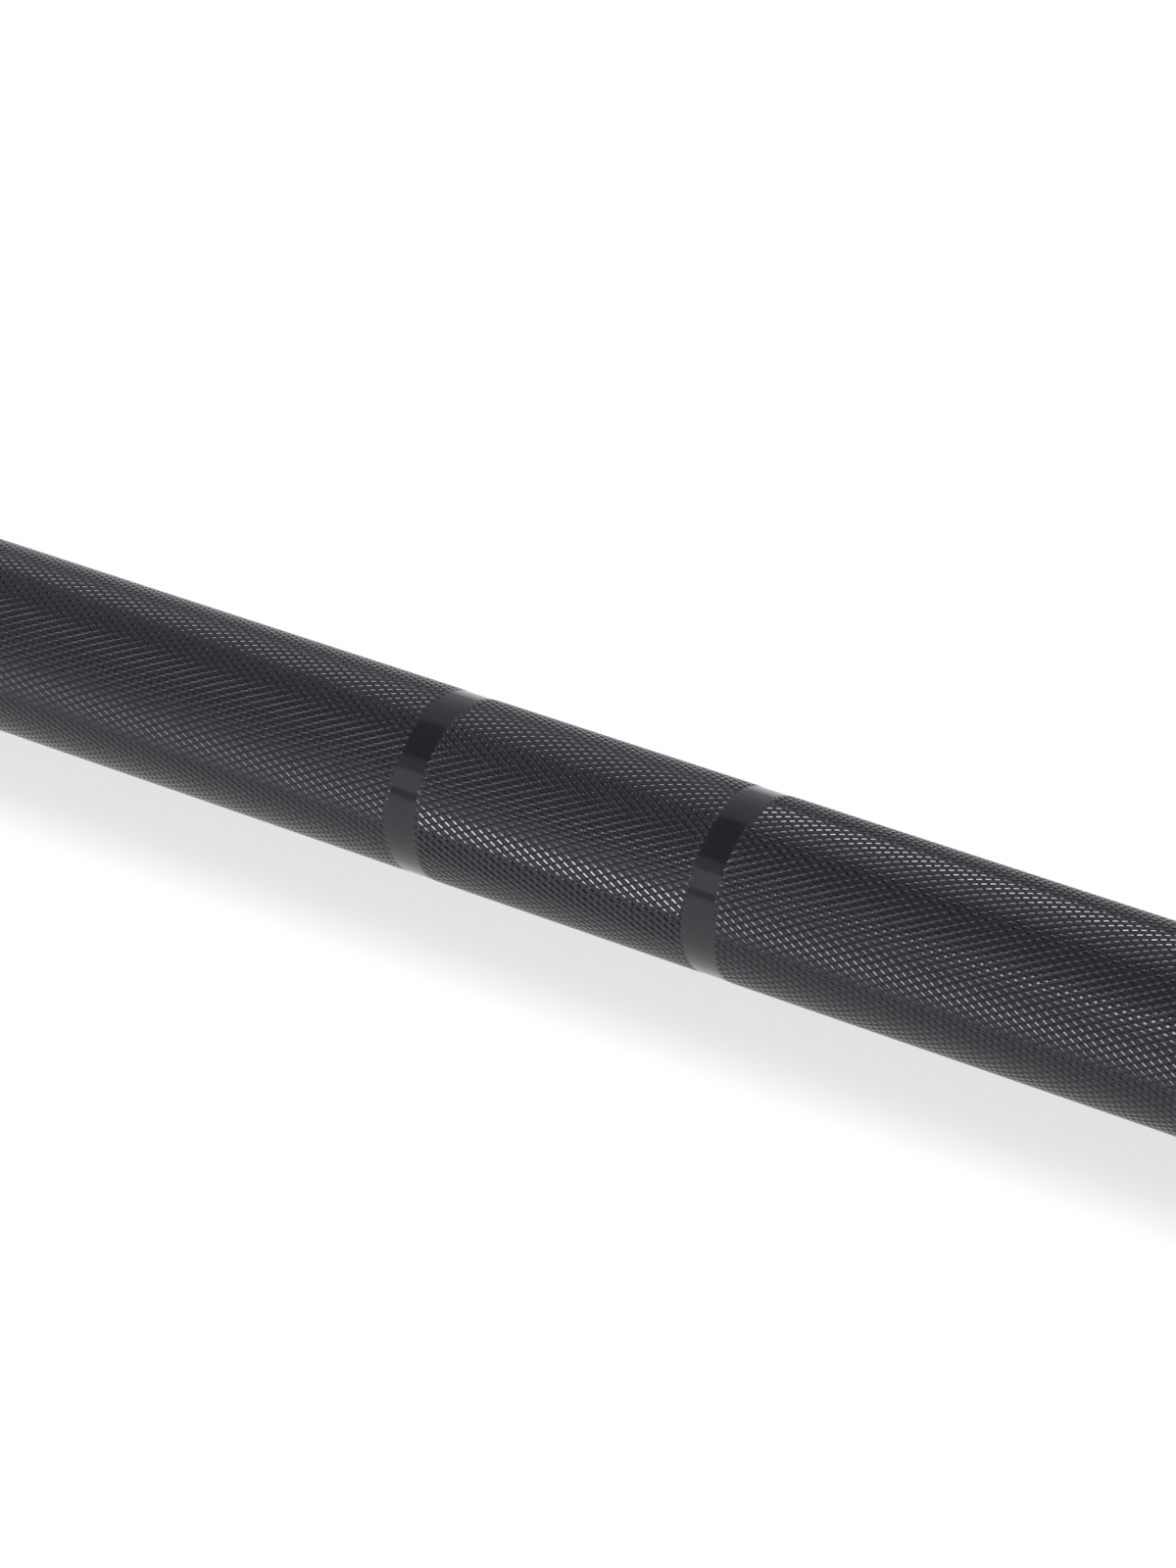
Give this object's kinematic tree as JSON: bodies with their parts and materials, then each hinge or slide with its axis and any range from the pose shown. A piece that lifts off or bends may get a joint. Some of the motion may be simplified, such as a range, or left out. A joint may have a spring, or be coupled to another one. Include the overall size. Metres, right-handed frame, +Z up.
{
  "type": "barbell",
  "caption": "Long straight barbell with knurled grips and mark rings on a black shaft, and a free-turning bright sleeve with a plate collar at each end.",
  "frame": {"origin": "on the floor, under the middle of the bar, at the bottom centre of its box", "axes": "+X along the bar towards the right sleeve, +Z up from the floor, +Y across the bar"},
  "size_m": [2.2, 0.075, 0.075],
  "materials": {
    "shaft_coat": "satin",
    "sleeve_chrome": "polished",
    "cap_steel": "satin",
    "bushing_bronze": "satin",
    "washer_steel": "satin",
    "ring_spring_steel": "satin",
    "seal_rubber": "matte"
  },
  "bodies": {
    "shaft": {"shaft": "shaft_coat", "right_inner_thrust_washer": "washer_steel", "right_outer_thrust_washer": "washer_steel", "right_shaft_snap_ring": "ring_spring_steel", "left_inner_thrust_washer": "washer_steel", "left_outer_thrust_washer": "washer_steel", "left_shaft_snap_ring": "ring_spring_steel"},
    "right_sleeve": {"right_collar": "sleeve_chrome", "right_sleeve": "sleeve_chrome", "right_inner_bushing": "bushing_bronze", "right_outer_bushing": "bushing_bronze", "right_end_cap": "cap_steel", "right_cap_snap_ring": "ring_spring_steel", "right_dust_seal": "seal_rubber"},
    "left_sleeve": {"left_collar": "sleeve_chrome", "left_sleeve": "sleeve_chrome", "left_inner_bushing": "bushing_bronze", "left_outer_bushing": "bushing_bronze", "left_end_cap": "cap_steel", "left_cap_snap_ring": "ring_spring_steel", "left_dust_seal": "seal_rubber"}
  },
  "joints": [
    {"name": "right_sleeve_spin", "type": "hinge", "parent": "shaft", "child": "right_sleeve", "pos_m": [0.655, 0, 0.0375], "axis": [1, 0, 0], "continuous": true},
    {"name": "left_sleeve_spin", "type": "hinge", "parent": "shaft", "child": "left_sleeve", "pos_m": [-0.655, 0, 0.0375], "axis": [-1, 0, 0], "continuous": true}
  ]
}
